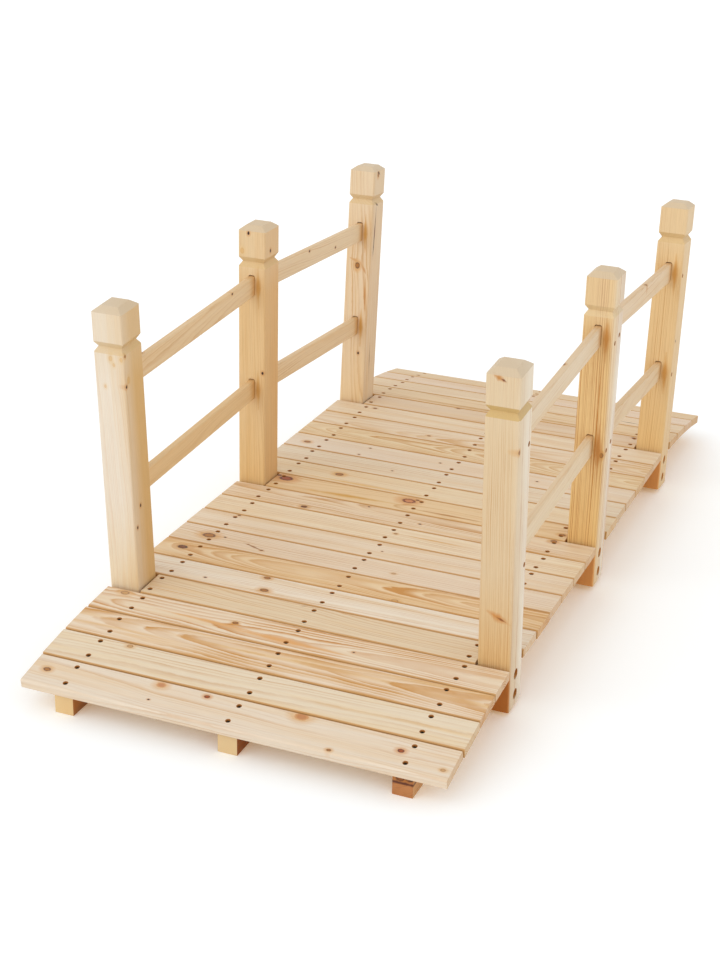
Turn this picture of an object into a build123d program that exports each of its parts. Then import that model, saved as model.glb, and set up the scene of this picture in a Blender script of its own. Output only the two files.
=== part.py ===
from build123d import *
import os
from math import asin, cos, degrees, radians, sin

os.makedirs("parts", exist_ok=True)

# A garden footbridge in planed softwood. X runs across the deck, Y along it and Z up.
# The origin is on the ground under the middle of the deck. "left" is -X, "front" is -Y.

# Deck boards, laid across the bridge
board_count = 23
board_length = 670.0
board_width = 64.9
board_gap = 1.5
board_thickness = 15.0
board_edge_radius = 3.0

# Line of the deck: level in the middle, then one curve down to each end
deck_height = 86.0
level_half_length = 402.0
end_slope = 12.2

# Stringers, the three bearers on edge under the boards
stringer_thickness = 31.0
stringer_setback = 8.0
stringer_pad_length = 110.0
stringer_arch_rise = 18.0

# Posts, three to a side, each in the place of one board's end
boards_between_posts = 6
post_across = 51.0
post_side_clearance = 5.5
post_setback = 2.0
post_lean = 4.0
post_edge_radius = 3.0
foot_clearance = 9.0
shoulder_height = 399.0
neck_height = 18.0
neck_depth = 6.0
head_height = 46.0
cap_rise = 8.5
cap_inset = 11.0
short_board_clearance = 2.0

# Holes for the two coach screws that hold the foot of each post to the outer stringer
coach_screw_diameter = 8.0
coach_screw_clearance = 0.5
counterbore_diameter = 17.0
counterbore_depth = 12.0
upper_hole_depth = 24.0
lower_hole_margin = 18.0

# Rails, housed at both ends in mortises in the posts
rail_thickness = 11.5
rail_height = 35.0
rail_edge_radius = 2.5
rail_slope = 3.0
low_rail_height = 179.0
top_rail_drop = 31.0
mortise_web = 13.0
mortise_clearance = 1.25

# Worked out from the sizes above
board_pitch = board_width + board_gap
deck_half_length = board_pitch * board_count / 2
seat_height = deck_height - board_thickness
seat_curve_radius = (deck_half_length - level_half_length) / radians(end_slope)
post_pitch = (boards_between_posts + 1) * board_pitch
post_along = 2 * board_pitch - board_width - 2 * post_side_clearance
post_outer_x = board_length / 2 - post_setback
post_inner_x = post_outer_x - post_across
post_x = (post_outer_x + post_inner_x) / 2
foot_depth = deck_height - foot_clearance
stringer_x = post_inner_x - stringer_thickness / 2
short_board_length = 2 * (post_inner_x - short_board_clearance)
screw_hole_radius = coach_screw_diameter / 2 + coach_screw_clearance
screw_hole_depths = (upper_hole_depth, foot_depth - lower_hole_margin)
rail_heights = {"low": low_rail_height, "top": shoulder_height - top_rail_drop}
mortise_depth = (post_along - mortise_web) / 2
sides = {"left": -1, "right": 1}
ends = {"front": -1, "back": 1}


def seat_point(distance):
    """Y, Z and outward slope of the boards' seat, at a distance along it from mid-span."""
    beyond = abs(distance) - level_half_length
    if beyond <= 0:
        return distance, seat_height, 0.0
    angle = beyond / seat_curve_radius
    y = level_half_length + seat_curve_radius * sin(angle)
    z = seat_height - seat_curve_radius * (1 - cos(angle))
    end = 1 if distance > 0 else -1
    return end * y, z, end * angle


def deck_point(distance):
    """Y and Z of the deck's walking surface, at a distance along the seat from mid-span."""
    y, z, angle = seat_point(distance)
    return y + board_thickness * sin(angle), z + board_thickness * cos(angle)


def finish(builder, name):
    builder.part.label = name
    export_step(builder.part, f"parts/{name}.step")


# Deck boards


def deck_board(distance, length):
    """A board across the bridge with its two upper long edges rounded."""
    y, z, angle = seat_point(distance)
    end_plane = Plane(origin=(0, y, z), x_dir=(0, cos(angle), -sin(angle)), z_dir=(1, 0, 0))
    with BuildPart() as board:
        with BuildSketch(end_plane) as section:
            Rectangle(board_width, board_thickness, align=(Align.CENTER, Align.MIN))
            fillet(section.vertices().group_by(Axis.Y)[-1], board_edge_radius)
        extrude(amount=length / 2, both=True)
    return board


middle_board = board_count // 2
for number in range(board_count):
    steps = number - middle_board
    between_posts = steps % (boards_between_posts + 1) == 0 and abs(steps) <= boards_between_posts + 1
    plank = deck_board(steps * board_pitch, short_board_length if between_posts else board_length)
    finish(plank, f"board_{number + 1:02d}")


# Posts


def post_frame(side, end):
    """Frame of a post: origin at deck level on its axis, Z up the post, Y along the bridge."""
    y, z = deck_point(end * post_pitch)
    lean = end * radians(post_lean)
    return Plane(origin=(side * post_x, y, z), x_dir=(1, 0, 0), z_dir=(0, sin(lean), cos(lean)))


def post_outline(plane, width):
    """Outline of a post seen square on: foot, shaft, V-shaped neck, head and sloped cap."""
    half = width / 2
    head_base = shoulder_height + neck_height
    head_top = head_base + head_height
    with BuildSketch(plane) as outline:
        with BuildLine():
            Polyline(
                (0, -foot_depth),
                (half, -foot_depth),
                (half, shoulder_height),
                (half - neck_depth, shoulder_height + neck_height / 2),
                (half, head_base),
                (half, head_top),
                (half - cap_inset, head_top + cap_rise),
                (0, head_top + cap_rise),
            )
            mirror(about=Plane.YZ)
        make_face()
    return outline.sketch


# Rails


def rail_frame(side, end, height, distance):
    """Frame on a rail's axis, at a distance along it from mid-span, Z towards the bridge's end."""
    slope = radians(rail_slope)
    y = end * distance * cos(slope)
    z = deck_height + height - distance * sin(slope)
    return Plane(
        origin=(side * post_x, y, z),
        x_dir=(-end, 0, 0),
        z_dir=(0, end * cos(slope), -sin(slope)),
    )


def rail_reach(height):
    """Distances along a rail's axis from mid-span to its two mortise floors."""
    slope = radians(rail_slope)
    lean = radians(post_lean)
    y, z = deck_point(post_pitch)
    rise = deck_height + height - z
    inner_floor = (post_along / 2 - mortise_depth) / cos(slope)
    end_face = (y * cos(lean) + rise * sin(lean) - post_along / 2) / cos(slope - lean)
    return inner_floor, end_face + mortise_depth


def mortise_section(side, end, height, distance):
    """Section of a mortise: it seats the rail below, with clearance beside and above it."""
    with BuildSketch(rail_frame(side, end, height, distance)) as section:
        with Locations((0, mortise_clearance)):
            RectangleRounded(
                rail_thickness + 2 * mortise_clearance,
                rail_height + 2 * mortise_clearance,
                rail_edge_radius + mortise_clearance,
            )
    return section.sketch


def bridge_post(side, end):
    frame = post_frame(side, end)
    front = Plane(origin=frame.origin, x_dir=frame.x_dir, z_dir=-frame.y_dir)
    flank = Plane(origin=frame.origin, x_dir=frame.y_dir, z_dir=frame.x_dir)
    outer_face = Plane(
        origin=frame.origin + frame.x_dir * side * post_across / 2,
        x_dir=frame.y_dir * side,
        z_dir=frame.x_dir * side,
    )
    with BuildPart() as post:
        extrude(post_outline(front, post_across), amount=post_along / 2, both=True)
        extrude(post_outline(flank, post_along), amount=post_across / 2, both=True, mode=Mode.INTERSECT)
        fillet(post.edges().filter_by(Axis(frame.origin, frame.z_dir)), post_edge_radius)
        for height in rail_heights.values():
            inner_floor, end_floor = rail_reach(height)
            start = end_floor - 2 * mortise_depth if end else inner_floor
            for rail_end in [end] if end else ends.values():
                section = mortise_section(side, rail_end, height, start)
                extrude(section, amount=2 * mortise_depth, mode=Mode.SUBTRACT)
        with Locations(outer_face):
            with Locations(*[(0, -depth) for depth in screw_hole_depths]):
                CounterBoreHole(screw_hole_radius, counterbore_diameter / 2, counterbore_depth)
    return post


for side_name, side in sides.items():
    finish(bridge_post(side, ends["front"]), f"post_{side_name}_front")
    finish(bridge_post(side, 0), f"post_{side_name}_middle")
    finish(bridge_post(side, ends["back"]), f"post_{side_name}_back")


def bridge_rail(side, end, height):
    inner_floor, end_floor = rail_reach(height)
    start = inner_floor + mortise_clearance
    with BuildPart() as rail:
        with BuildSketch(rail_frame(side, end, height, start)):
            RectangleRounded(rail_thickness, rail_height, rail_edge_radius)
        extrude(amount=end_floor - mortise_clearance - start)
    return rail


for side_name, side in sides.items():
    for end_name, end in ends.items():
        for level, height in rail_heights.items():
            finish(bridge_rail(side, end, height), f"rail_{side_name}_{end_name}_{level}")


# Stringers


def stringer(x):
    """A bearer sawn to the deck's line above and arched below between its two pads."""
    half_length = seat_point(deck_half_length)[0] - stringer_setback
    end_angle = asin((half_length - level_half_length) / seat_curve_radius)
    curve_centre = seat_height - seat_curve_radius
    arch_half_span = half_length - stringer_pad_length
    with BuildPart() as bearer:
        with BuildSketch(Plane.YZ.offset(x)):
            with BuildLine():
                Line((-level_half_length, seat_height), (level_half_length, seat_height))
                for end in ends.values():
                    curve = CenterArc(
                        (end * level_half_length, curve_centre),
                        seat_curve_radius,
                        90,
                        -end * degrees(end_angle),
                    )
                    Polyline(curve @ 1, (end * half_length, 0), (end * arch_half_span, 0))
                ThreePointArc((-arch_half_span, 0), (0, stringer_arch_rise), (arch_half_span, 0))
            make_face()
        extrude(amount=stringer_thickness / 2, both=True)
    return bearer


finish(stringer(-stringer_x), "stringer_left")
finish(stringer(0), "stringer_middle")
finish(stringer(stringer_x), "stringer_right")
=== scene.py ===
from math import cos, pi, radians
from random import Random

import bpy
from mathutils import Matrix, Vector


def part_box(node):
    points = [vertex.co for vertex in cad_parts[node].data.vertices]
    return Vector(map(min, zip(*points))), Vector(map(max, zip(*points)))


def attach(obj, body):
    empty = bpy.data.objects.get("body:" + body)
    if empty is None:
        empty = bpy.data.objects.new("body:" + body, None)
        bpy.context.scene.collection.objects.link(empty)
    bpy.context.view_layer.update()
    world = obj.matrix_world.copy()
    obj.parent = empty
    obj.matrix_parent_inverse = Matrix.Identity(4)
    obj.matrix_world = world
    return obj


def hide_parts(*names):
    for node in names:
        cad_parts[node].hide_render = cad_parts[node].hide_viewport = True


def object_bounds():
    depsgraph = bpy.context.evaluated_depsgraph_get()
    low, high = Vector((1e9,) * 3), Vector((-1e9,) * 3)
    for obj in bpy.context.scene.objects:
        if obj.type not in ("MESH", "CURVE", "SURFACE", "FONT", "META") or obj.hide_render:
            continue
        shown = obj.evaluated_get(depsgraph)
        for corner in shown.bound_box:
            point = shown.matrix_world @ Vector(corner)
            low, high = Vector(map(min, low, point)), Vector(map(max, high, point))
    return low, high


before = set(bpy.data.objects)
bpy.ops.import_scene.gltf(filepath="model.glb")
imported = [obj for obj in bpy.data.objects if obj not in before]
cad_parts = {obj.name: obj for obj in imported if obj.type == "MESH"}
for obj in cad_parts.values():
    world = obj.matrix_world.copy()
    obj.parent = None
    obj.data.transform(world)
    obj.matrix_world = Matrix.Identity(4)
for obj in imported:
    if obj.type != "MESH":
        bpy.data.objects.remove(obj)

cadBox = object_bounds()
mm = 0.001
print("frame loaded,", len(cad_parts), "wooden parts")


def linearColour(hexColour):
    # sRGB hex to the linear values that shaders use
    channels = [int(hexColour[i:i + 2], 16) / 255 for i in (1, 3, 5)]
    linear = [c / 12.92 if c <= 0.04045 else ((c + 0.055) / 1.055) ** 2.4 for c in channels]
    return (*linear, 1.0)


def addNode(tree, kind, inputs, **settings):
    # one shader node with its settings, and its inputs as values or as links from other nodes
    node = tree.nodes.new("ShaderNode" + kind)
    for setting, value in settings.items():
        setattr(node, setting, value)
    for socket, value in inputs.items():
        if isinstance(value, bpy.types.Node):
            value = value.outputs[0]
        if isinstance(value, bpy.types.NodeSocket):
            tree.links.new(value, node.inputs[socket])
        else:
            node.inputs[socket].default_value = value
    return node


def setRamp(node, stops):
    # colours and places of a colour ramp, from (place, colour) pairs
    ramp = node.color_ramp
    while len(ramp.elements) < len(stops):
        ramp.elements.new(0.5)
    for element, (position, colour) in zip(ramp.elements, stops):
        element.position = position
        element.color = colour


def newMaterial(name):
    material = bpy.data.materials.new(name)
    material.use_nodes = True
    material.node_tree.nodes.clear()
    return material, material.node_tree


def selectOnly(piece):
    bpy.ops.object.select_all(action="DESELECT")
    piece.select_set(True)
    bpy.context.view_layer.objects.active = piece


def editSelected(piece, kind, chosen):
    # into edit mode with only the faces, edges or corners that chosen says yes to
    selectOnly(piece)
    bpy.ops.object.mode_set(mode="EDIT")
    bpy.ops.mesh.select_mode(type=kind)
    bpy.ops.mesh.select_all(action="DESELECT")
    bpy.ops.object.mode_set(mode="OBJECT")
    mesh = piece.data
    for part in {"FACE": mesh.polygons, "EDGE": mesh.edges, "VERT": mesh.vertices}[kind]:
        part.select = chosen(part)
    bpy.ops.object.mode_set(mode="EDIT")


def applyModifier(piece, kind, **settings):
    selectOnly(piece)
    bpy.ops.object.modifier_add(type=kind)
    modifier = piece.modifiers[-1]
    for setting, value in settings.items():
        setattr(modifier, setting, value)
    bpy.ops.object.modifier_apply(modifier=modifier.name)


def joinPieces(pieces, name):
    bpy.ops.object.select_all(action="DESELECT")
    for piece in pieces:
        piece.select_set(True)
    bpy.context.view_layer.objects.active = pieces[0]
    bpy.ops.object.join()
    pieces[0].name = name
    return pieces[0]


def copiesOf(pattern, places, name):
    # one piece made of copies of a pattern, each copy's mesh moved to its own place
    copies = []
    for place in places:
        copy = pattern.copy()
        copy.data = pattern.data.copy()
        copy.data.transform(place)
        bpy.context.scene.collection.objects.link(copy)
        copies.append(copy)
    return joinPieces(copies, name)


# studio: white floor, soft light from above, camera
studio = {
    "cameraPlace": (0.9925, -2.7508, 1.3686),
    "cameraTurn": (67.058, -1.319, 22.377),  # degrees
    "cameraReach": 100.0,
    "lens": 68.09,
    "floorSize": 60.0,
    "floorColour": "#F8F6F3",
    "floorPaper": (0.74, 0.89, 1.00),  # as the camera sees it: paper and glow add up to white,
    "floorGlow": (0.31, 0.18, 0.08),   # and the glow warms the shadows, as light from the wood does
    "skyAbove": 0.76,
    "skyAround": 1.18,  # pale walls, brighter than the ceiling
    "keyStrength": 0.7,
    "keyPlace": (-1.0, -1.0, 3.0),
    "keyTurn": (44.0, -28.0, 0.0),  # degrees from straight down, towards the right and the back
    "keySoftness": 60.0,  # degrees across, like a wide softbox
}


def addCamera():
    bpy.ops.object.camera_add(
        location=studio["cameraPlace"], rotation=[radians(turn) for turn in studio["cameraTurn"]])
    camera = bpy.context.object
    camera.data.lens = studio["lens"]
    camera.data.clip_end = studio["cameraReach"]
    bpy.context.scene.camera = camera


def addKeyLight():
    bpy.ops.object.light_add(
        type="SUN", location=studio["keyPlace"], rotation=[radians(turn) for turn in studio["keyTurn"]])
    key = bpy.context.object
    key.name = "keyLight"
    key.data.energy = studio["keyStrength"]
    key.data.angle = radians(studio["keySoftness"])


def seenDirectly(tree):
    # 1 for what the camera sees, itself or in a reflection
    path = addNode(tree, "LightPath", {})
    return addNode(tree, "Math", {0: path.outputs["Is Camera Ray"], 1: path.outputs["Is Glossy Ray"]},
                   operation="MAXIMUM")


def addFloor():
    bpy.ops.mesh.primitive_plane_add(size=studio["floorSize"], location=(0, 0, cadBox[0].z))
    floor = bpy.context.object
    floor.name = "studioFloor"
    material, tree = newMaterial("paintedFloor")  # matt white studio paper
    paper = addNode(tree, "BsdfDiffuse", {"Color": linearColour(studio["floorColour"])})
    shade = addNode(tree, "BsdfDiffuse", {"Color": (*studio["floorPaper"], 1)})
    glow = addNode(tree, "Emission", {"Color": (*studio["floorGlow"], 1), "Strength": 1.0})
    lifted = addNode(tree, "AddShader", {0: shade, 1: glow})
    surface = addNode(tree, "MixShader", {0: seenDirectly(tree), 1: paper, 2: lifted})
    addNode(tree, "OutputMaterial", {"Surface": surface})
    floor.data.materials.append(material)


def addSky():
    world = bpy.data.worlds.new("studioWorld")
    bpy.context.scene.world = world
    world.use_nodes = True
    tree = world.node_tree
    tree.nodes.clear()
    direction = addNode(tree, "SeparateXYZ", {0: addNode(tree, "TexCoord", {}).outputs["Generated"]})
    strength = addNode(tree, "MapRange", {
        0: direction.outputs["Z"], 3: studio["skyAround"], 4: studio["skyAbove"]})
    sky = addNode(tree, "Background", {"Color": (1, 1, 1, 1), "Strength": strength})
    backdrop = addNode(tree, "Background", {"Color": (1, 1, 1, 1), "Strength": 1.0})
    surface = addNode(tree, "MixShader", {0: seenDirectly(tree), 1: sky, 2: backdrop})
    addNode(tree, "OutputWorld", {"Surface": surface})


addCamera()
addKeyLight()
addFloor()
addSky()
bpy.context.scene.view_settings.view_transform = "Standard"
print("studio ready")


# wood: planed spruce, left bare; a knot is a branch's core in a rim of bark, with a resin-stained halo
knotKinds = {
    "red": {"core": "#9C4A16", "rim": "#622406", "halo": "#C87E24", "strength": 1.0},
    "ringed": {"core": "#C07C4A", "rim": "#6C2606", "halo": "#C87E24", "strength": 1.0},
    "brown": {"core": "#A2661E", "rim": "#6C3C12", "halo": "#CC8E30", "strength": 0.95},
    "dark": {"core": "#784010", "rim": "#442406", "halo": "#C08234", "strength": 1.0},
    "pale": {"core": "#BE8C4A", "rim": "#945A20", "halo": "#D09C50", "strength": 0.8},
    "pin": {"core": "#321A0E", "rim": "#422414", "halo": "#C88A4C", "strength": 1.0},
    "cloud": {"core": "#B4681C", "rim": "#C27C2C", "halo": "#D09642", "strength": 0.8},
    "honey": {"core": "#D6A450", "rim": "#CC9848", "halo": "#DDB878", "strength": 0.5},
}

knotShape = {
    "reach": 3.0,  # radii that its parts cover; each has its place in that, a colour and a strength
    "parts": ((0.0, "core", 1.0), (0.2, "core", 1.0), (0.27, "rim", 1.0),
              (0.32, "rim", 0.9), (0.4, "halo", 0.6), (0.9, "halo", 0.0)),
    "uneven": 0.45,  # radii by which its outline wanders
    "bulge": 0.7,    # radii by which the rings bulge around it
}

# mm along and across the grain
patternSizes = {
    "waves": (260, 90),    # slow bends in the rings
    "ragged": (16, 5),     # uneven edges of rings, knots and cracks
    "streaks": (420, 12),  # honey-coloured, most of a board long
    "patches": (150, 30),  # where the rings show more and less
    "fibres": (30, 0.9),   # twice their real width, so that they show
}

planed = {
    "fibreLight": (0.94, 1.05),  # of the darkest and the lightest fibre
    "ringRelief": 0.04,  # mm by which hard summer growth stands out after planing
    "fibreRelief": 0.05,
    "reliefShare": 0.5,
    "roughness": (0.62, 0.5),  # of spring and of summer growth
    "refraction": 1.47,
}

plainWood = {
    "seed": 0.0,  # which waves, streaks and patches the piece gets
    "early": "#E4D0B5", "late": "#C08A46",  # spring growth and summer growth
    "lateShare": 0.3, "contrast": 0.7,  # how much of a year is summer growth, and how clearly it shows
    "ring": 3.6, "wander": 7.0,  # mm of growth a year, and mm of wave in it
    "pith": (90.0, -50.0),  # mm from the piece's middle, across and out
    "taper": (0.0, 0.03),  # how fast the pith drifts away along the piece
    "honey": "#D8B27A", "honeyShare": 0.55,  # long streaks
    "heart": "#D8A868", "heartRadius": None, "heartEdge": 8.0,  # wood near the pith; mm, and mm of fading
    "gap": "#C08E4C", "gapShares": (0.0, 0.0),  # sides in a gap, towards the front and towards the back
    "sawnEnd": "#E8CDA6", "sawnBlend": "MULTIPLY", "sawnShare": 0.6,  # end grain
    "torn": "#CDAC72", "tornShare": 0.0,  # grain cut at a slant
    # lines across the piece, in mm from its middle, at which its colour changes
    "headLine": None, "headGrey": "#DCC8A8", "headShare": 0.35,  # greyer above it
    "baseLine": None, "baseTint": "#FFF9E8",  # front and back warmer below it: painted warm light thrown back by the deck
    "footLine": None, "footShade": "#E09A52",  # front and back painted with the deck's shade below it
    "mortiseLine": None, "mortiseWarmLight": "#F0B468",  # walls inside the piece painted bright orange below it: painted warm light in the gap round a rail
    "jointLine": None, "jointShade": "#C8903E", "jointShare": 0.8,  # painted shade beyond it, at both ends, where a rail goes into a post
    "flank": 1,  # 1 or -1: on which side across the flank's knots are
    # mm along and across, radius, kind; along, across, along, across, half width, colour
    "knots": (), "cracksAndShadows": (),
    "flankKnots": (), "flankCracks": (),  # the same by along and out
    "endKnots": (),  # by across and out
}

# mm after each line at which its colour sets in, and at which it is full
fades = {"headLine": (-55, 3), "baseLine": (150, 0), "footLine": (4, -4), "jointLine": (-24, 0)}


def grainPattern(tree, place, name, inputs):
    # one of the patterns above, drawn out along the grain
    along, across = patternSizes[name]
    place = addNode(tree, "VectorMath", {0: place, 1: (1 / along, 1 / across, 1 / across)},
                    operation="MULTIPLY")
    return addNode(tree, "TexNoise", {"Vector": place, "Scale": 1.0, **inputs},
                   noise_dimensions="4D" if "W" in inputs else "3D")


def fade(wood, line):
    # the limits of a MapRange at which a line's colour sets in and is full
    return {1: wood[line] + fades[line][0], 2: wood[line] + fades[line][1]}


def bentGrain(tree, place, wood):
    # places moved by slow waves, which bend the rings, and a short wave that makes edges ragged
    wave = grainPattern(tree, place, "waves", {"W": wood["seed"], "Detail": 1.5})
    waved = addNode(tree, "VectorMath", {0: wave.outputs["Color"], 1: (0.5, 0.5, 0.5)}, operation="SUBTRACT")
    moved = addNode(tree, "VectorMath", {0: waved, "Scale": wood["wander"] * 2}, operation="SCALE")
    moved = addNode(tree, "VectorMath", {0: place, 1: moved}, operation="ADD")
    ragged = grainPattern(tree, place, "ragged", {"W": wood["seed"], "Detail": 2.0})
    return moved, ragged.outputs["Fac"]


def knotLayers(tree, place, moved, ragged, wood, face):
    # the knots' colours, and how far the rings give way and bulge around them
    layers, bulge = [], 0.0
    across, out = face
    gnarled = addNode(tree, "TexNoise", {"Vector": place, "Scale": 0.4, "Detail": 2.0}).outputs["Fac"]

    # for each face: a knot's place, its oval, and the way in which rings give way
    faces = (
        ("knots", lambda first, second: (first, second, out), (0.72, 1, 0.3), (0, -1, 0)),
        ("flankKnots", lambda first, second: (first, across, second), (0.72, 0.3, 1), (0, 0, -1)),
        ("endKnots", lambda first, second: (0, first, second), (0, 1, 0.8), (0, 0, 0)),
    )
    for name, middle, oval, aside in faces:
        for first, second, radius, kind in wood[name]:
            style = knotKinds[kind]
            offset = addNode(tree, "VectorMath", {0: place, 1: middle(first, second)}, operation="SUBTRACT")
            squeezed = addNode(tree, "VectorMath", {0: offset, 1: oval}, operation="MULTIPLY")
            distance = addNode(tree, "VectorMath", {0: squeezed}, operation="LENGTH").outputs["Value"]
            radii = addNode(tree, "Math", {0: distance, 1: radius}, operation="DIVIDE")
            for wave in (ragged, gnarled):
                radii = addNode(tree, "Math", {0: wave, 1: knotShape["uneven"], 2: radii},
                                operation="MULTIPLY_ADD")
            radii = addNode(tree, "Math", {0: radii, 1: knotShape["uneven"]}, operation="SUBTRACT")

            # outside the knot the push on the rings falls with the square of the distance
            outside = addNode(tree, "Math", {0: radii, 1: 1.0}, operation="MAXIMUM")
            push = addNode(tree, "Math", {0: outside, 1: -2.0}, operation="POWER")
            sideways = addNode(tree, "VectorMath", {0: offset, 1: aside}, operation="MULTIPLY")
            sideways = addNode(tree, "VectorMath", {0: sideways, "Scale": push}, operation="SCALE")
            moved = addNode(tree, "VectorMath", {0: moved, 1: sideways}, operation="ADD")
            bulge = addNode(tree, "Math", {0: push, 1: -knotShape["bulge"] * radius, 2: bulge},
                            operation="MULTIPLY_ADD")
            share = addNode(tree, "Math", {0: radii, 1: knotShape["reach"]}, operation="DIVIDE")
            shade = addNode(tree, "ValToRGB", {"Fac": share})
            setRamp(shade, [(stop, (*linearColour(style[part])[:3], alpha * style["strength"]))
                            for stop, part, alpha in knotShape["parts"]])
            layers.append((shade.outputs["Color"], shade.outputs["Alpha"], "MIX"))
    return layers, moved, bulge


def crackAndShadowLayers(tree, place, ragged, wood):
    # cracks, resin lines and painted shadows of rails: widest in the middle, pointed at both ends, with
    # ragged sides
    layers = []
    faces = (
        ("cracksAndShadows", (1, 1, 0), lambda along, side: Vector((along, side, 0))),
        ("flankCracks", (1, 0, 1), lambda along, side: Vector((along, 0, side))),
    )
    for name, keep, spot in faces:
        for alongA, sideA, alongB, sideB, half, colour in wood[name]:
            start, run = spot(alongA, sideA), spot(alongB - alongA, sideB - sideA)
            offset = addNode(tree, "VectorMath", {0: place, 1: start}, operation="SUBTRACT")
            offset = addNode(tree, "VectorMath", {0: offset, 1: keep}, operation="MULTIPLY")
            share = addNode(tree, "VectorMath", {0: offset, 1: run / run.length_squared},
                            operation="DOT_PRODUCT").outputs["Value"]
            share = addNode(tree, "Math", {0: share, 1: 0.0}, operation="ADD", use_clamp=True)
            nearest = addNode(tree, "VectorMath", {0: run, "Scale": share}, operation="SCALE")
            distance = addNode(tree, "VectorMath", {0: offset, 1: nearest}, operation="DISTANCE")
            pointed = addNode(tree, "Math", {0: share, 1: 0.5}, operation="SUBTRACT")
            pointed = addNode(tree, "Math", {0: pointed, 1: 2.2 * half}, operation="MULTIPLY")
            pointed = addNode(tree, "Math", {0: pointed}, operation="ABSOLUTE")
            distance = addNode(tree, "Math", {0: distance.outputs["Value"], 1: pointed}, operation="ADD")
            distance = addNode(tree, "Math", {0: ragged, 1: half, 2: distance}, operation="MULTIPLY_ADD")
            line = addNode(tree, "MapRange", {0: distance, 1: 1.9 * half, 2: 0.9 * half})
            layers.append((colour, line, "MIX"))
    return layers


def pithDistance(tree, along, moved, bulge, wood):
    # mm from the pith, which drifts away along the piece
    drift = addNode(tree, "VectorMath", {0: (0, *wood["taper"]), "Scale": along}, operation="SCALE")
    fromPith = addNode(tree, "VectorMath", {0: moved, 1: (0, *wood["pith"])}, operation="SUBTRACT")
    fromPith = addNode(tree, "VectorMath", {0: fromPith, 1: drift}, operation="SUBTRACT")
    fromPith = addNode(tree, "VectorMath", {0: fromPith, 1: (0, 1, 1)}, operation="MULTIPLY")
    radius = addNode(tree, "VectorMath", {0: fromPith}, operation="LENGTH").outputs["Value"]
    return addNode(tree, "Math", {0: radius, 1: bulge}, operation="ADD")


def growthRings(tree, place, radius, ragged, wood):
    # summer growth, from 0 to 1 and back in each year, and how much of it shows in each place;
    # wide and narrow years shift the rings by up to 3 years, and their edges by up to 0.3
    years = addNode(tree, "Math", {0: radius, 1: wood["ring"]}, operation="DIVIDE")
    uneven = addNode(tree, "TexNoise", {"W": years, "Scale": 0.35, "Detail": 1.0}, noise_dimensions="1D")
    years = addNode(tree, "Math", {0: uneven.outputs["Fac"], 1: 3.0, 2: years}, operation="MULTIPLY_ADD")
    years = addNode(tree, "Math", {0: ragged, 1: 0.3, 2: years}, operation="MULTIPLY_ADD")
    season = addNode(tree, "Math", {0: years}, operation="FRACT")
    growth = addNode(tree, "ValToRGB", {"Fac": season})
    growth.color_ramp.interpolation = "EASE"
    share = wood["lateShare"]
    setRamp(growth, [(stop, (value, value, value, 1)) for stop, value in (
        (0.0, 0.4), (0.05, 0.0), (1 - 1.6 * share, 0.04), (1 - 0.7 * share, 0.6), (0.93, 1.0), (1.0, 0.4))])

    # some years are rich and some poor, and in patches they all show less
    yearNumber = addNode(tree, "Math", {0: years}, operation="FLOOR")
    yearNumber = addNode(tree, "Math", {0: yearNumber, 1: 0.37, 2: wood["seed"]}, operation="MULTIPLY_ADD")
    rich = addNode(tree, "TexNoise", {"W": yearNumber, "Scale": 3.0, "Detail": 0.0}, noise_dimensions="1D")
    rich = addNode(tree, "MapRange", {0: rich.outputs["Fac"], 1: 0.3, 2: 0.7, 3: 0.45, 4: 1.0})
    patches = grainPattern(tree, place, "patches", {"W": wood["seed"] + 5, "Detail": 2.0})
    shown = addNode(tree, "MapRange", {0: patches.outputs["Fac"], 1: 0.35, 2: 0.65,
                                       3: 0.25 * wood["contrast"], 4: 1.15 * wood["contrast"]})
    shown = addNode(tree, "Math", {0: shown, 1: rich}, operation="MULTIPLY")
    return growth, addNode(tree, "Math", {0: growth, 1: shown}, operation="MULTIPLY")


def rawLayers(tree, moved, radius, summer, wood):
    # honey streaks, the heart and summer growth
    streaks = grainPattern(tree, moved, "streaks", {"W": wood["seed"] + 9, "Detail": 3.0})
    streaks = addNode(tree, "MapRange", {0: streaks.outputs["Fac"], 1: 0.46, 2: 0.72, 4: wood["honeyShare"]})
    layers = [(wood["honey"], streaks, "MIX")]
    if wood["heartRadius"] is not None:
        heart = addNode(tree, "MapRange", {0: radius, 1: wood["heartRadius"] + wood["heartEdge"],
                                           2: wood["heartRadius"] - wood["heartEdge"]})
        layers.append((wood["heart"], heart, "MIX"))
    return [*layers, (wood["late"], summer, "MIX")]


def headToneAndBaseLight(tree, along, front, wood):
    # a greyer head, and painted warm light from the deck on the front and back near it
    layers = []
    if wood["headLine"] is not None:
        above = addNode(tree, "MapRange", {0: along, **fade(wood, "headLine"), 4: wood["headShare"]})
        layers.append((wood["headGrey"], above, "MIX"))
    if wood["baseLine"] is not None:
        lower = addNode(tree, "MapRange", {0: along, **fade(wood, "baseLine")})
        lower = addNode(tree, "Math", {0: lower, 1: front}, operation="MULTIPLY")
        layers.append((wood["baseTint"], lower, "MULTIPLY"))
    return layers


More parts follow.
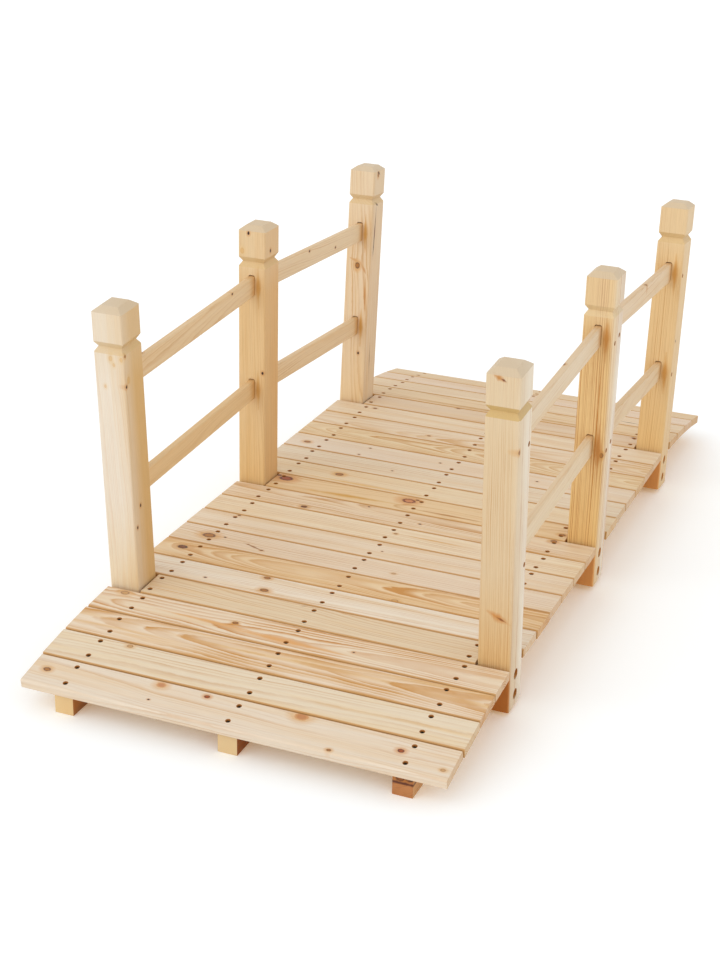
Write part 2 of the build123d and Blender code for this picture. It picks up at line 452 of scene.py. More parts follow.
def cutAndShadeLayers(tree, place, along, normal, front, grain, wood, face):
    # end grain drinks in more light, and grain cut at a slant is torn
    turned = addNode(tree, "VectorMath", {0: normal, 1: grain.col[0].xyz}, operation="DOT_PRODUCT")
    turned = addNode(tree, "Math", {0: turned.outputs["Value"]}, operation="ABSOLUTE")
    cut = addNode(tree, "ValToRGB", {"Fac": turned})
    setRamp(cut, [(stop, (*linearColour(wood[tone])[:3], share)) for stop, tone, share in (
        (0.3, "torn", 0.0), (0.48, "torn", wood["tornShare"]), (0.62, "torn", wood["tornShare"]),
        (0.74, "sawnEnd", wood["sawnShare"]))])
    layers = [(cut.outputs["Color"], cut.outputs["Alpha"], wood["sawnBlend"])]

    # painted shade where a rail enters a post, painted warm light inside the mortises, and painted shade
    # where a post meets the deck
    if wood["jointLine"] is not None:
        ends = addNode(tree, "Math", {0: along}, operation="ABSOLUTE")
        ends = addNode(tree, "MapRange", {0: ends, **fade(wood, "jointLine"), 4: wood["jointShare"]})
        layers.append((wood["jointShade"], ends, "MIX"))
    if wood["mortiseLine"] is not None:
        inside = addNode(tree, "VectorMath", {0: place}, operation="ABSOLUTE")
        inside = addNode(tree, "VectorMath", {0: inside, 1: (0, *map(abs, face))}, operation="SUBTRACT")
        inside = addNode(tree, "SeparateXYZ", {0: inside})
        inside = addNode(tree, "Math", {0: inside.outputs["Y"], 1: inside.outputs["Z"]}, operation="MAXIMUM")
        within = addNode(tree, "MapRange", {0: inside, 1: -1.4, 2: -1.9})  # mm under the outer faces
        below = addNode(tree, "Math", {0: along, 1: wood["mortiseLine"]}, operation="LESS_THAN")
        within = addNode(tree, "Math", {0: within, 1: below}, operation="MULTIPLY")
        layers.append((wood["mortiseWarmLight"], within, "MIX"))
    if wood["footLine"] is not None:
        low = addNode(tree, "MapRange", {0: along, **fade(wood, "footLine")})
        deckShade = addNode(tree, "Math", {0: low, 1: front}, operation="MULTIPLY")
        layers.append((wood["footShade"], deckShade, "MIX"))

    # honey-brown in a gap, where the light comes from the next board
    for sign, share in zip((-1, 1), wood["gapShares"]):
        if share:
            side = addNode(tree, "VectorMath", {0: normal, 1: sign * grain.col[1].xyz},
                           operation="DOT_PRODUCT")
            side = addNode(tree, "MapRange", {0: side.outputs["Value"], 1: 0.12, 2: 0.6, 4: share})
            layers.append((wood["gap"], side, "MIX"))
    return layers


def softwood(node, piece, grain, wood):
    # spruce: soft pale spring growth, hard darker summer lines that bend around the knots; planing
    # leaves it flat but for the fibres, so that it is matt with a faint sheen on the summer lines
    wood = {**plainWood, **wood}
    face = (farthest(piece, grain, 1, wood["flank"]) / mm, farthest(piece, grain, 2, 1) / mm)
    material, tree = newMaterial("planedSpruce." + node)
    coordinates = addNode(tree, "TexCoord", {})
    place = addNode(tree, "Mapping", {
        "Vector": coordinates.outputs["Object"], "Location": grain.translation,
        "Rotation": grain.to_euler(), "Scale": (mm, mm, mm)}, vector_type="TEXTURE")
    along = addNode(tree, "SeparateXYZ", {0: place}).outputs["X"]
    normal = addNode(tree, "NewGeometry", {}).outputs["Normal"]
    front = addNode(tree, "VectorMath", {0: normal, 1: grain.col[2].xyz}, operation="DOT_PRODUCT")
    front = addNode(tree, "Math", {0: front.outputs["Value"]}, operation="ABSOLUTE")

    moved, ragged = bentGrain(tree, place, wood)
    knots, moved, bulge = knotLayers(tree, place, moved, ragged, wood, face)
    radius = pithDistance(tree, along, moved, bulge, wood)
    growth, summer = growthRings(tree, place, radius, ragged, wood)
    layers = [
        *rawLayers(tree, moved, radius, summer, wood),
        *headToneAndBaseLight(tree, along, front, wood),
        *knots,
        *crackAndShadowLayers(tree, place, ragged, wood),
        *cutAndShadeLayers(tree, place, along, normal, front, grain, wood, face),
    ]
    colour = linearColour(wood["early"])
    for above, share, blend in layers:
        if isinstance(above, str):
            above = linearColour(above)
        colour = addNode(tree, "Mix", {"Factor": share, "A": colour, "B": above}, data_type="RGBA",
                         blend_type=blend).outputs["Result"]

    fibre = grainPattern(tree, place, "fibres", {"Detail": 3.0, "Roughness": 0.6}).outputs["Fac"]
    darkest, lightest = planed["fibreLight"]
    light = addNode(tree, "MapRange", {0: fibre, 1: 0.25, 2: 0.75, 3: darkest, 4: lightest})
    colour = addNode(tree, "VectorMath", {0: colour, "Scale": light}, operation="SCALE")
    height = addNode(tree, "Math", {0: growth, 1: planed["ringRelief"]}, operation="MULTIPLY")
    height = addNode(tree, "Math", {0: fibre, 1: planed["fibreRelief"], 2: height}, operation="MULTIPLY_ADD")
    bump = addNode(tree, "Bump", {"Height": height, "Distance": mm, "Strength": planed["reliefShare"]})
    spring, hard = planed["roughness"]
    gloss = addNode(tree, "MapRange", {0: growth, 3: spring, 4: hard})
    shader = addNode(tree, "BsdfPrincipled", {"Base Color": colour, "Roughness": gloss,
                                              "IOR": planed["refraction"], "Normal": bump})
    addNode(tree, "OutputMaterial", {"Surface": shader})
    return material


# the burnished wall of a drilled hole: short torn fibres, dark with resin and darker still with painted shade
# inside the hole; mm
drilled = {"spot": 0.8, "relief": 0.2, "dark": "#7A4412", "light": "#BC7A2C", "roughness": (0.7, 0.7),
           "metallic": 0.0}

# steel with a browned zinc coat: dull bronze, darker and rougher where the coat is thick
browned = {"spot": 2.5, "relief": 0.0, "dark": "#201608", "light": "#403014", "roughness": (0.75, 0.6),
           "metallic": 0.2}


def mottled(name, look):
    # a material whose colour, relief and gloss change from spot to spot
    material, tree = newMaterial(name)
    coordinates = addNode(tree, "TexCoord", {})
    spots = addNode(tree, "TexNoise", {
        "Vector": coordinates.outputs["Object"], "Scale": 1 / (look["spot"] * mm), "Detail": 2.0})
    dark, light = linearColour(look["dark"]), linearColour(look["light"])
    colour = addNode(tree, "Mix", {"Factor": spots, "A": dark, "B": light}, data_type="RGBA")
    rough, smooth = look["roughness"]
    gloss = addNode(tree, "MapRange", {0: spots, 1: 0.3, 2: 0.7, 3: rough, 4: smooth})
    surface = {"Base Color": colour.outputs["Result"], "Metallic": look["metallic"], "Roughness": gloss}
    if look["relief"]:
        surface["Normal"] = addNode(tree, "Bump", {
            "Height": spots, "Distance": look["relief"] * mm, "Strength": 0.6})
    addNode(tree, "OutputMaterial", {"Surface": addNode(tree, "BsdfPrincipled", surface)})
    return material


drilledSpruce = mottled("drilledSpruce", drilled)
brownedSteel = mottled("brownedSteel", browned)


def bar(sides, radius, low, high):
    # an upright round or hexagonal bar on the Z axis, between two heights in mm
    bpy.ops.mesh.primitive_cylinder_add(vertices=sides, radius=radius * mm, depth=(high - low) * mm,
                                        location=(0, 0, (low + high) / 2 * mm))
    bpy.ops.object.transform_apply(location=True, rotation=True, scale=True)
    return bpy.context.object


def endFace(sign):
    # says yes to the upper end of a bar, or to its lower end
    return lambda face: sign * face.normal.z > 0.9


# screws in the deck and the posts; mm
screw = {
    "headRadius": 2.9, "headHeight": 2.0, "headEase": 0.3,
    "headDepth": 2.4,   # of its top below the wood's face
    "headTaper": 0.55,  # how much of its width is left underneath
    "slotLength": 3.4, "slotWidth": 0.9, "slotDepth": 1.1,
    "holeRadius": 3.1, "holeDepth": 4.6,
    "rimRadius": 4.2, "rimDepth": 1.0,  # where the bit tears the surface
}


def drillPattern():
    # cutter for a screw's hole, flared at the rim; Z points out of the wood, and its face is at zero
    drill = bar(20, screw["holeRadius"], -screw["holeDepth"], -screw["rimDepth"])
    editSelected(drill, "FACE", endFace(1))
    bpy.ops.mesh.extrude_region_move(TRANSFORM_OT_translate={"value": (0, 0, 2 * screw["rimDepth"] * mm)})
    flare = 2 * screw["rimRadius"] / screw["holeRadius"] - 1
    bpy.ops.transform.resize(value=(flare, flare, 1))
    bpy.ops.object.mode_set(mode="OBJECT")
    drill.data.materials.append(drilledSpruce)
    return drill


def screwPattern():
    # countersunk head with a cross slot; Z points out of the wood, and its face is at zero
    top = -screw["headDepth"]
    head = bar(16, screw["headRadius"], top - screw["headHeight"], top)
    editSelected(head, "FACE", endFace(-1))
    bpy.ops.transform.resize(value=(screw["headTaper"], screw["headTaper"], 1))
    bpy.ops.object.mode_set(mode="OBJECT")
    upper = [vertex.co.z > (top - 0.1) * mm for vertex in head.data.vertices]
    editSelected(head, "EDGE", lambda edge: all(upper[corner] for corner in edge.vertices))
    bpy.ops.mesh.bevel(offset=screw["headEase"] * mm, segments=1)
    bpy.ops.object.mode_set(mode="OBJECT")
    length, width, depth = screw["slotLength"], screw["slotWidth"], 2 * screw["slotDepth"]
    for size in ((length, width, depth), (width, length, depth)):
        bpy.ops.mesh.primitive_cube_add(size=1, location=(0, 0, top * mm))
        slot = bpy.context.object
        slot.scale = [side * mm for side in size]
        bpy.ops.object.transform_apply(location=True, rotation=True, scale=True)
        applyModifier(head, "BOOLEAN", operation="DIFFERENCE", solver="EXACT", object=slot)
        bpy.data.objects.remove(slot)
    head.data.materials.append(brownedSteel)
    return head


# coach screws at the posts' feet; mm
coachScrew = {
    "aboveFoot": (18.0, 53.0),
    "seat": 12.0, "play": 0.05,  # depth of the counterbore, and room under the washer
    "washerRadius": 8.0, "washerHeight": 1.6, "washerEase": (0.5, 0.25),  # inwards and out of the end
    "headAcross": 13.0, "headHeight": 5.3, "headEase": (0.9, 0.5),
    "shankRadius": 3.9, "shankLength": 37.0, "pointEase": (1.2, 1.6),
}


def coachScrewPattern():
    # hexagon head on a washer, down in its counterbore; Z points out of the post, its face at zero
    seat = coachScrew["play"] - coachScrew["seat"]
    onWasher = seat + coachScrew["washerHeight"]
    washer = bar(32, coachScrew["washerRadius"], seat, onWasher)
    head = bar(6, coachScrew["headAcross"] / 2 / cos(pi / 6), onWasher, onWasher + coachScrew["headHeight"])
    shank = bar(24, coachScrew["shankRadius"], seat - coachScrew["shankLength"], seat)
    for part, sign, ease in ((washer, 1, "washerEase"), (head, 1, "headEase"), (shank, -1, "pointEase")):
        inwards, outwards = coachScrew[ease]
        editSelected(part, "FACE", endFace(sign))
        bpy.ops.mesh.inset(thickness=inwards * mm)
        bpy.ops.transform.translate(value=(0, 0, sign * outwards * mm))
        bpy.ops.object.mode_set(mode="OBJECT")
    pattern = joinPieces([washer, head, shank], "coachScrewPattern")
    pattern.data.materials.append(brownedSteel)
    return pattern


# how every wooden part is shaped; degrees
shaping = {
    "flat": 0.3,     # loose triangles closer than this lie in one face
    "corner": 50.0,  # edges sharper than this are eased
    "smooth": 32.0,  # and folds softer than this are shaded as round
}


def grainFrame(piece, facing):
    # a piece's own axes: x along its grain, z out of the face that looks towards facing
    mesh = piece.data
    corners = [vertex.co for vertex in mesh.vertices]
    edges = [corners[edge.vertices[0]] - corners[edge.vertices[1]] for edge in mesh.edges]
    along = max(edges, key=lambda edge: edge.length).normalized()
    if max(along, key=abs) < 0:
        along = -along
    faces = [face for face in mesh.polygons if face.normal.dot(facing) > 0.7]
    out = max(faces, key=lambda face: face.area).normal
    out = (out - along * out.dot(along)).normalized()
    low, high = (Vector(map(pick, *corners)) for pick in (min, max))
    grain = Matrix((along, out.cross(along), out)).transposed().to_4x4()
    grain.translation = (low + high) / 2
    return grain


def farthest(piece, grain, axis, sign):
    # how far a piece reaches from its middle along one of its own axes
    inverse = grain.inverted()
    return sign * max(sign * (inverse @ vertex.co)[axis] for vertex in piece.data.vertices)


def pieceFromNode(node):
    # the CAD shape as its own piece, its loose triangles merged into whole flat faces
    piece = bpy.data.objects.new("wood." + node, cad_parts[node].data.copy())
    bpy.context.scene.collection.objects.link(piece)
    piece.data.materials.clear()
    selectOnly(piece)
    bpy.ops.mesh.customdata_custom_splitnormals_clear()
    bpy.ops.object.mode_set(mode="EDIT")
    bpy.ops.mesh.select_all(action="SELECT")
    bpy.ops.mesh.remove_doubles(threshold=0.01 * mm)
    bpy.ops.mesh.dissolve_limited(angle_limit=radians(shaping["flat"]))
    bpy.ops.object.mode_set(mode="OBJECT")
    return piece


def easeEdges(piece, width):
    applyModifier(piece, "BEVEL", width=width * mm, segments=2, limit_method="ANGLE",
                  angle_limit=radians(shaping["corner"]))


def drillHoles(piece, places):
    cutter = copiesOf(drill, places, "cutter")
    applyModifier(piece, "BOOLEAN", operation="DIFFERENCE", solver="EXACT", object=cutter,
                  material_mode="TRANSFER")
    bpy.data.objects.remove(cutter)
    screwPlaces.extend(places)


def anyTurn():
    # screws stop at any turn
    return Matrix.Rotation(chance.uniform(0, pi), 4, "Z")


def finishPiece(piece, node=None):
    selectOnly(piece)
    bpy.ops.object.shade_smooth_by_angle(angle=radians(shaping["smooth"]))
    applyModifier(piece, "WEIGHTED_NORMAL", keep_sharp=True)
    if node:
        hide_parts(node)
    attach(piece, "root")


drill, screwHead, coachScrewWhole = drillPattern(), screwPattern(), coachScrewPattern()
screwPlaces, coachScrewPlaces = [], []
chance = Random(23)


deck = {
    "screwRows": (-16.5, 19.5),  # mm from a board's middle, towards the front and the back
    "screwWander": 2.2,
    "endTrim": 1.6,              # mm by which sawn ends differ
    "fullBoard": 2,              # the one that keeps the deck's full width
    "edgeEase": 1.0,
    "gapShare": 0.9,
    "seedStep": 3.7,             # from one board's pattern to the next
}

# deck boards, numbered from the front; a knot's place is in mm from the board's middle, right and back
boardWood = {
    1: {"early": "#E0D0BB", "honey": "#DDBB8C", "contrast": 0.5, "pith": (70, -70), "ring": 5,
        "knots": ((-307, 1, 4, "brown"), (-128, 23, 5, "cloud"), (-53, 21, 3, "red"), (-131, -12, 1.3, "pin"),
                  (158, -27, 2.5, "brown"), (253, 4, 3.5, "red"), (321, -14, 2.5, "pale"),
                  (94, 25, 7, "cloud"))},
    2: {"early": "#E0D0B6", "honey": "#DFBE88", "contrast": 0.65, "pith": (-60, -60), "ring": 6,
        "knots": ((-217, 25, 3.5, "pale"),)},
    3: {"early": "#E4D1B8", "lateShare": 0.6, "late": "#C48C42", "honey": "#D8AC68", "contrast": 1.25,
        "honeyShare": 0.9, "pith": (7, -33), "ring": 3.8, "taper": (0.004, 0.025), "wander": 10},
    4: {"early": "#E4D2B8", "lateShare": 0.42, "late": "#C2843A", "contrast": 1.2, "pith": (-6, -31),
        "taper": (0.008, 0.02), "wander": 9,
        "knots": ((-97, 5, 3.2, "brown"), (-298, 22, 5, "pale"), (103, -5, 1.3, "pin")),
        "cracksAndShadows": ((-235, -2, -30, -9, 4.5, "#D8A468"), (-110, -11, 95, -17, 8.0, "#D8A266"))},
    5: {"early": "#DDC8A8", "contrast": 0.75, "pith": (60, -80),
        "cracksAndShadows": ((-28, 22, -14, 31, 0.8, "#8A6244"), (-335, -12, -120, -14, 1.2, "#CFA26A"))},
    6: {"early": "#E8DBC7", "contrast": 0.9, "pith": (-70, -50),
        "knots": ((-101, -17, 5, "brown"), (-115, 25, 4, "brown"), (-206, -15, 1.6, "pin"))},
    7: {"early": "#E4C9A1", "lateShare": 0.55, "late": "#C48838", "honey": "#D6A65A", "contrast": 1.25,
        "pith": (6, -38), "ring": 3, "wander": 11,
        "knots": ((100, -30, 4, "pale"), (-292, 6, 6, "dark"))},
    8: {"early": "#E2CEB5", "contrast": 0.85, "pith": (70, -60),
        "knots": ((-273, -1, 8, "brown"), (-245, 3, 1.5, "pin"), (63, -7, 2.6, "pale"),
                  (-168, -18, 1.8, "dark"), (-198, -6, 1.3, "dark")),
        "cracksAndShadows": ((-210, -2, -160, -21, 2.0, "#94602E"),)},
    9: {"early": "#E4D1B7", "contrast": 0.9, "pith": (-90, -50),
        "knots": ((-263, 28, 2, "dark"), (15, -3, 1.2, "pin"))},
    10: {"early": "#E6D3B5", "contrast": 0.85, "pith": (80, -50), "knots": ((10, 6, 2.2, "brown"),),
         "cracksAndShadows": ((0, 7, 150, 5, 3.0, "#D2A466"),)},
    11: {"early": "#E3CDAF", "lateShare": 0.4, "contrast": 1.2, "pith": (20, -42), "ring": 3.2,
         "taper": (0.0, 0.02),
         "knots": ((-177, -23, 4, "dark"), (-74, 25, 1.6, "pin"), (33, -6, 1.8, "pin"),
                   (263, 25, 4, "brown"))},
    12: {"early": "#E0C296", "late": "#C08A40", "honey": "#CEA05A", "contrast": 0.8, "pith": (-20, -70),
         "knots": ((-258, 13, 9, "red"), (-275, 21, 3, "dark"), (-20, 13, 8.5, "ringed"),
                   (-7, 22, 2.4, "dark"), (269, -11, 4, "brown")),
         "cracksAndShadows": ((-230, -18, -30, -9, 6.0, "#CC9A48"), (-20, -17, 150, -19, 3.4, "#B47C38"))},
    13: {"early": "#E2CDAB", "contrast": 0.6, "pith": (70, -60), "knots": ((-178, 5, 5.5, "brown"),),
         "cracksAndShadows": ((-280, -22, 60, -24, 5.0, "#D8B076"),)},
    14: {"early": "#DFCEB4", "contrast": 0.8, "pith": (-70, -60), "knots": ((-97, -4, 1.5, "pin"),),
         "cracksAndShadows": ((-340, -12, 10, -14, 1.4, "#CDA472"),)},
    15: {"early": "#E1CFB8", "contrast": 0.65, "pith": (70, -50),
         "knots": ((-296, -6, 4.5, "brown"), (-175, 15, 1.6, "pin"), (-183, -23, 1.6, "pin"),
                   (-30, 3, 1.6, "pin"), (160, -4, 1.6, "pin"))},
    16: {"early": "#E2CCA7", "lateShare": 0.5, "late": "#C08838", "contrast": 1.05, "pith": (4, -38),
         "ring": 3.0, "taper": (0.0, 0.06), "wander": 16},
    17: {"early": "#E2CFB5", "lateShare": 0.5, "late": "#C48E40", "contrast": 0.85, "pith": (-10, -45),
         "ring": 3.4, "wander": 14, "knots": ((-97, -10, 2.5, "brown"),)},
    18: {"early": "#E2CEB1", "pith": (60, -60), "knots": ((-247, 18, 2.4, "dark"),)},
    19: {"early": "#D9C1A3", "contrast": 0.8, "pith": (-50, -60),
         "knots": ((-98, 29, 2.5, "dark"), (264, 24, 2.5, "dark"))},
    20: {"early": "#DCC29C", "contrast": 0.9, "pith": (30, -60),
         "cracksAndShadows": ((-330, -20, 330, -22, 7.0, "#C09254"),)},
    21: {"early": "#E0CAAA", "contrast": 0.95, "pith": (-60, -60),
         "cracksAndShadows": ((196, -9, 262, -13, 2.0, "#5A3A26"),)},
    22: {"early": "#DFC9B0", "contrast": 0.9, "pith": (70, -60)},
    23: {"early": "#DAC09A", "pith": (50, -50)},
}


def deckBoard(node):
    number = int(node.split("_")[1])
    piece = pieceFromNode(node)
    grain = grainFrame(piece, Vector((0, 0, 1)))
    for side in (-1, 1):
        end = farthest(piece, grain, 0, side)
        editSelected(piece, "VERT", lambda corner: side * corner.co.x > side * end - mm)
        trim = 0.0 if number == deck["fullBoard"] else chance.uniform(0, deck["endTrim"]) * mm
        bpy.ops.transform.translate(value=(-side * trim, 0, 0))
        bpy.ops.object.mode_set(mode="OBJECT")
    easeEdges(piece, deck["edgeEase"])
    gapShares = [0.0 if number == last else deck["gapShare"] for last in (1, len(boardWood))]
    wood = {"seed": number * deck["seedStep"], "gapShares": gapShares, **boardWood[number]}
    piece.data.materials.append(softwood(node, piece, grain, wood))
    top, places = farthest(piece, grain, 2, 1), []
    for stringer in ("stringer_left", "stringer_middle", "stringer_right"):
        line = sum(corner.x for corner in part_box(stringer)) / 2
        for row in deck["screwRows"]:
            spot = Vector((line, row * mm, top))
            spot.x += chance.uniform(-1, 1) * deck["screwWander"] * mm
            spot.y += chance.uniform(-1, 1) * deck["screwWander"] * mm
            places.append(grain @ Matrix.Translation(spot) @ anyTurn())
    drillHoles(piece, places)
    finishPiece(piece, node)


for node in sorted(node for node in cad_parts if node.startswith("board_")):
    deckBoard(node)
print("deck ready")


post = {
    "edgeEase": 0.7,
    "headEase": 1.2,
    "headFold": 25.0,   # degrees from which the head's edges are eased
    "neckDepth": 75.0,  # mm from the top to under the neck
    "headDepth": 64.0,  # to where it has turned grey
    "mortiseDepth": 72.0,  # to above the mortises
    "deckHeight": 66.0,  # mm from the foot to the painted shade at the deck
    "baseHeight": 81.0,  # to where the painted warm light from the deck is full
    "mortiseRoom": 3.0,  # mm around a rail in which the walls of its mortise lie
    "mortiseClose": (0.89, 1, 0.96),
}

railScrews = {  # mm up from the post's middle and towards the front, on its outer face
    "front": ((148, -19), (-46, -20)),
    "middle": ((156, 12), (163, -13), (-30, 12), (-23, -13)),
    "back": ((142, 17), (-47, 18)),
}

plainPost = {"sawnEnd": "#CBB79A", "sawnBlend": "MIX", "sawnShare": 0.75, "tornShare": 0.5, "flank": -1}

# a knot's place is in mm from the post's middle: up, left, and on flanks up and front
postWood = {
    # on the left posts the heart lies under the inner faces, which look at the deck: partly heartwood, partly
    # painted warm shade
    "post_left_front": {
        "seed": 84.5, "early": "#E4D8C6", "honey": "#DDC397", "late": "#CFA068", "contrast": 0.4, "ring": 3,
        "pith": (-75, -45), "heartRadius": 84, "heartEdge": 20, "heart": "#D4AE74",
        "knots": ((196, -3, 3, "honey"), (186, -8, 2, "honey"), (149, 9, 2, "honey"),
                  (196, -21, 2.4, "honey")),
        "flankKnots": ((-56, 7, 2, "pin"), (-89, 20, 1.8, "pin"), (201, 24, 1.8, "brown"),
                       (152, 25, 2, "pin"), (160, 18, 4, "honey"))},
    "post_left_middle": {
        "seed": 86.8, "early": "#DEBE8D", "honey": "#D2A563", "late": "#BE8846", "contrast": 0.55,
        "ring": 3.4, "pith": (-75, -45), "heartRadius": 78, "heartEdge": 20, "heart": "#DBB076",
        "knots": ((13, -21, 2, "pin"), (262, 6, 2.1, "pin"), (230, 18, 3.5, "honey")),
        "flankKnots": ((230, 7, 2.2, "pin"),),
        # these two marks right of the rails are painted shadows of the rails
        "cracksAndShadows": ((204, -12, 130, -13, 4.5, "#CB9A54"), (16, -12, -56, -13, 4.5, "#CB9A54"))},
    "post_left_back": {
        "seed": 82.2, "early": "#E0C8A7", "honey": "#DCB984", "ring": 3.2, "pith": (-40, -60),
        "knots": ((80, 1, 4.5, "brown"), (-97, -10, 1.8, "pin")),
        "flankKnots": ((260, 8, 3.5, "brown"),),
        # the first two marks, right of the rails, are painted shadows of the rails
        "cracksAndShadows": ((183, -12, 107, -13, 4.5, "#CE9C54"), (-6, -12, -82, -13, 4.5, "#CE9C54"),
                   (95, 20, 86, -6, 3.0, "#CFA06A"), (86, -6, 62, -20, 3.0, "#C89662"),
                   (60, -17, -20, -19, 2.4, "#C08A4E")),
        "flankCracks": ((267, 14, 258, -2, 2.4, "#4E301C"), (206, 16, 198, 2, 3.0, "#4A2A18"),
                        (202, 9, 92, 16, 2.6, "#74452A"), (140, 12, 94, 16, 2.0, "#2E1A10"),
                        (-70, 7, -160, 3, 1.4, "#8A5A38"))},
    "post_right_front": {
        "seed": 86.8, "early": "#EBE2D1", "honey": "#E1C8A0", "late": "#B87E3C", "contrast": 0.85,
        "ring": 3.0, "footShade": "#BE7226", "baseTint": "#FFEFCE", "torn": "#C6A35C", "tornShare": 0.75,
        "pith": (80, 60), "taper": (0.008, 0.0), "wander": 4, "heartRadius": 118, "heartEdge": 14,
        "heart": "#D7BF9A", "flankKnots": ((154, 25, 2.4, "brown"),),
        "cracksAndShadows": ((-105, 13, -122, -22, 7.0, "#C68A4A"), (-112, 0, -119, -17, 2.0, "#8A5028"),
                   (268, 16, 257, -4, 4.5, "#C08648"), (262, 4, 258, -5, 1.8, "#7A4426"))},
    "post_right_middle": {
        "seed": 89.1, "early": "#EBE3D3", "late": "#B06A22", "lateShare": 0.4, "contrast": 1.15,
        "torn": "#D8C094", "pith": (80, 60), "taper": (0.008, 0.0), "wander": 4, "heartRadius": 118,
        "heartEdge": 12, "heart": "#E1BF85", "knots": ((-34, -22, 3, "brown"),),
        # the first two marks, right of the rails, are painted shadows of the rails
        "cracksAndShadows": ((206, -14, 126, -16, 6.0, "#C48A44"), (18, -14, -70, -17, 6.5, "#C08442"),
                   (290, -10, -300, -11, 1.0, "#B47426"))},
    "post_right_back": {
        "seed": 84.5, "early": "#E1C59A", "contrast": 0.8, "ring": 3.0, "pith": (80, 60), "heartRadius": 118,
        "heartEdge": 14, "heart": "#DFBE8A", "flankKnots": ((17, 16, 1.8, "pin"),),
        # both marks, right of the rails, are painted shadows of the rails
        "cracksAndShadows": ((184, -13, 106, -14, 5.5, "#CC964C"), (-4, -13, -84, -15, 5.5, "#CC964C"))},
}


def closeMortises(piece, side, front):
    # the CAD mortises have play for fitting; here the wood has swollen around the rails
    room = Vector((post["mortiseRoom"] * mm,) * 3)
    for node in sorted(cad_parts):
        if node.startswith("rail_" + side):
            low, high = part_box(node)[0] - room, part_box(node)[1] + room
            editSelected(piece, "FACE", lambda face: abs(face.normal.dot(front)) < 0.9 and all(
                low[axis] < face.center[axis] < high[axis] for axis in range(3)))
            bpy.ops.transform.resize(value=post["mortiseClose"])
            bpy.ops.object.mode_set(mode="OBJECT")


def roundHead(piece, grain, neck):
    # the sanded cap and neck have softer edges than the planed post
    folds = {}
    for face in piece.data.polygons:
        for key in face.edge_keys:
            folds.setdefault(key, []).append(face.normal.copy())
    heights = [(grain.inverted() @ vertex.co).x for vertex in piece.data.vertices]
    editSelected(piece, "EDGE", lambda edge: min(heights[corner] for corner in edge.vertices) > neck
                 and folds[edge.key][0].angle(folds[edge.key][1]) > radians(post["headFold"]))
    bpy.ops.mesh.bevel(offset=post["headEase"] * mm, segments=2, clamp_overlap=True)
    bpy.ops.object.mode_set(mode="OBJECT")


def bridgePost(node):
    sideName, endName = node.split("_")[1:]
    piece = pieceFromNode(node)
    grain = grainFrame(piece, Vector((0, -1, 0)))
    closeMortises(piece, sideName, grain.col[2].xyz)
    easeEdges(piece, post["edgeEase"])
    roundHead(piece, grain, farthest(piece, grain, 0, 1) - post["neckDepth"] * mm)
    foot, top = (farthest(piece, grain, 0, sign) / mm for sign in (-1, 1))
    wood = {**plainPost, "headLine": top - post["headDepth"], "mortiseLine": top - post["mortiseDepth"],
            "footLine": foot + post["deckHeight"], "baseLine": foot + post["baseHeight"], **postWood[node]}
    piece.data.materials.append(softwood(node, piece, grain, wood))

    # screws go in square to the outer face
    along, front = grain.col[0].xyz, grain.col[2].xyz
    outward = Vector((-1 if sideName == "left" else 1, 0, 0))
    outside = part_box(node)[0 if sideName == "left" else 1].x
    face = Matrix((along, outward.cross(along), outward)).transposed().to_4x4()

    def onFace(up, forward):
        spot = grain.translation + along * up * mm + front * forward * mm
        return Matrix.Translation((outside, spot.y, spot.z)) @ face @ anyTurn()

    drillHoles(piece, [onFace(up, forward) for up, forward in railScrews[endName]])
    coachScrewPlaces.extend(onFace(foot + up, 0) for up in coachScrew["aboveFoot"])
    finishPiece(piece, node)


for node in postWood:
    bridgePost(node)
print("posts ready")


# rails and stringers; a knot's place is in mm from the middle: back and up, and on flanks back and right
rail = {
    "slot": "rail", "edgeEase": 0.5, "firstSeed": 100, "seedStep": 5.3,
    "tenon": 18.0,  # mm of each end that is near or inside a post
    "pithSpread": 90.0,  # mm to each side
    "pithDepth": -60.0,
    "wood": {"contrast": 0.55, "gapShares": (0.0, 0.3), "gap": "#C9A274"},
}

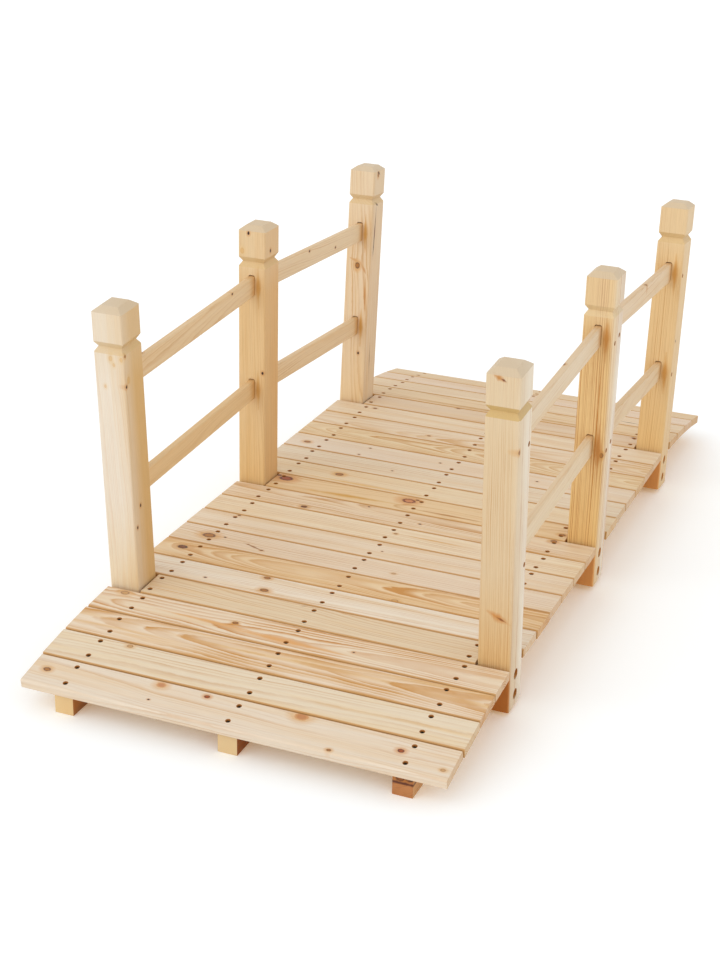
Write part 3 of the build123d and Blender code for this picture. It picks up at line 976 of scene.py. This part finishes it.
railWood = {
    "rail_left_front_top": {"early": "#E3C9A2", "knots": ((130, 15, 1.6, "pin"),),
                            "flankKnots": ((-15, -5, 1.6, "pin"), (-171, -4, 2.5, "dark"))},
    "rail_left_front_low": {"early": "#E2C292"},
    "rail_left_back_top": {"early": "#E2CBA8", "knots": ((83, -4, 1.8, "pin"), (-40, 13, 1.8, "pin"))},
    "rail_left_back_low": {"early": "#E4CAA3"},
    "rail_right_front_top": {"early": "#DECAAC", "flankKnots": ((39, -4, 2.5, "dark"),)},
    "rail_right_front_low": {"early": "#E0CCAC"},
    "rail_right_back_top": {"early": "#DEC6A5", "flankKnots": ((28, 3, 2.5, "dark"),)},
    "rail_right_back_low": {"early": "#DAC09B"},
}

stringer = {"slot": "stringer", "edgeEase": 0.8, "firstSeed": 160, "seedStep": 5.3}

# the stringers' orange-brown sides, and the heart of the left one, are painted shade from under the deck,
# darkest on the middle one; the left and middle ones keep paler sawn ends
stringerWoodAndShade = {
    "stringer_left": {
        "early": "#DDC096", "honey": "#D0A468", "late": "#A06430", "contrast": 0.6, "ring": 5,
        "pith": (-20, 80), "taper": (0.0, 0.0), "wander": 4, "heartRadius": 84, "heart": "#C47834",
        "sawnEnd": "#E0C08A", "sawnBlend": "MIX", "sawnShare": 0.9},
    "stringer_middle": {
        "early": "#A85A1C", "honey": "#8E4814", "late": "#7A4014", "ring": 5,
        "sawnEnd": "#DFC392", "sawnBlend": "MIX", "sawnShare": 0.9},
    "stringer_right": {
        "early": "#D39E66", "honey": "#C48C54", "late": "#8A5228", "contrast": 0.8, "ring": 6,
        "sawnEnd": "#C08638", "endKnots": ((-5, 9, 5, "dark"), (-7, -4, 5, "brown")),
        "cracksAndShadows": ((-820, -14, -690, -15, 2.2, "#6A3A1C"),)},
}


def longPart(node, kind, wood, index):
    piece = pieceFromNode(node)
    grain = grainFrame(piece, Vector((1, 0, 0)))
    easeEdges(piece, kind["edgeEase"])
    wood = {"seed": kind["firstSeed"] + index * kind["seedStep"], **wood}
    if "tenon" in kind:
        wood["jointLine"] = farthest(piece, grain, 0, 1) / mm - kind["tenon"]
    piece.data.materials.append(softwood(node, piece, grain, wood))
    finishPiece(piece, node)


for index, (node, wood) in enumerate(railWood.items()):
    pith = (chance.uniform(-rail["pithSpread"], rail["pithSpread"]), rail["pithDepth"])
    longPart(node, rail, {**rail["wood"], "pith": pith, **wood}, index)
for index, (node, wood) in enumerate(stringerWoodAndShade.items()):
    longPart(node, stringer, wood, index)
print("rails and stringers ready")

screws = copiesOf(screwHead, screwPlaces, "screws.countersunk")
coachScrews = copiesOf(coachScrewWhole, coachScrewPlaces, "screws.coach")
for pattern in (drill, screwHead, coachScrewWhole):
    bpy.data.objects.remove(pattern)
for piece in (screws, coachScrews):
    finishPiece(piece)
print("screws ready")
